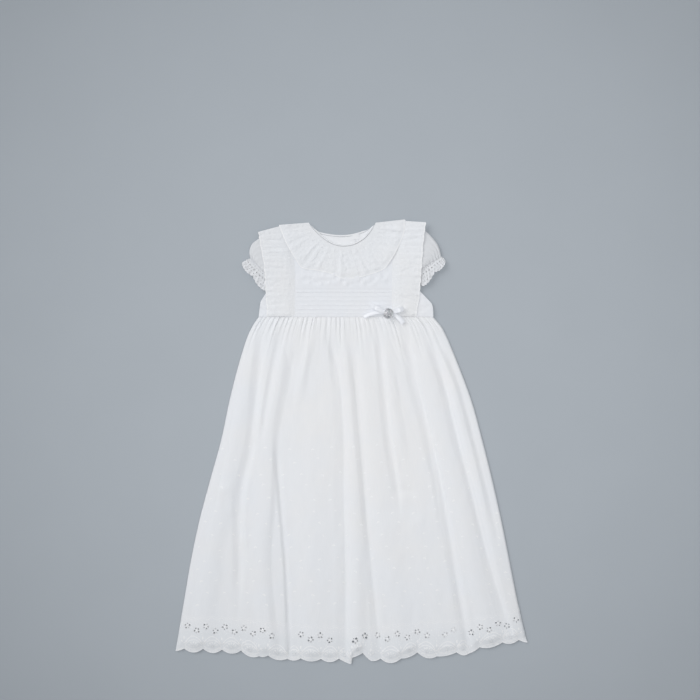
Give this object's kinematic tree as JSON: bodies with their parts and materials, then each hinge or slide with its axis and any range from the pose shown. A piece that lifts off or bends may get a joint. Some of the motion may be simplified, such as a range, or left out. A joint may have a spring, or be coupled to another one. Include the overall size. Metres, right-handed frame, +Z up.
{
  "type": "christening gown",
  "caption": "Baby's christening gown laid flat on its back: gathered skirt with scalloped eyelet hem, tucked bodice, pleated collar frill and flounces, puffed sleeves, satin bow.",
  "frame": {"origin": "On the surface that the gown lies on, under the middle of its box.", "axes": "+Z up from the surface to the front of the gown, +Y from the hem to the neck, +X to the right as one looks at the front."},
  "size_m": [0.4928, 0.623, 0.0157],
  "materials": {
    "batiste": "fine white cotton batiste, matt with a faint sheen",
    "eyelet": "white cotton eyelet embroidery",
    "lace": "white pleated embroidered net",
    "satin": "white satin ribbon",
    "bow_button": "silver-grey, faceted and bright",
    "small_buttons": "white, polished"
  },
  "bodies": {
    "root": {"skirt_front": "batiste", "skirt_back": "batiste", "hem_border_front": "eyelet", "hem_border_back": "eyelet", "yoke_front": "batiste", "tucked_panel": "batiste", "bodice_back_left": "batiste", "bodice_back_right": "batiste", "back_placket": "batiste", "back_button_1": "small_buttons", "back_button_2": "small_buttons", "back_button_3": "small_buttons", "neck_binding_front": "lace", "neck_binding_back": "lace", "collar_front": "lace", "collar_back_left": "lace", "collar_back_right": "lace", "flounce_left": "lace", "flounce_right": "lace", "flounce_back_left": "lace", "flounce_back_right": "lace", "sleeve_left": "batiste", "sleeve_right": "batiste", "cuff_frill_left": "lace", "cuff_frill_right": "lace", "bow_loop_left": "satin", "bow_loop_right": "satin", "bow_tails": "satin", "bow_button": "bow_button"}
  },
  "joints": []
}
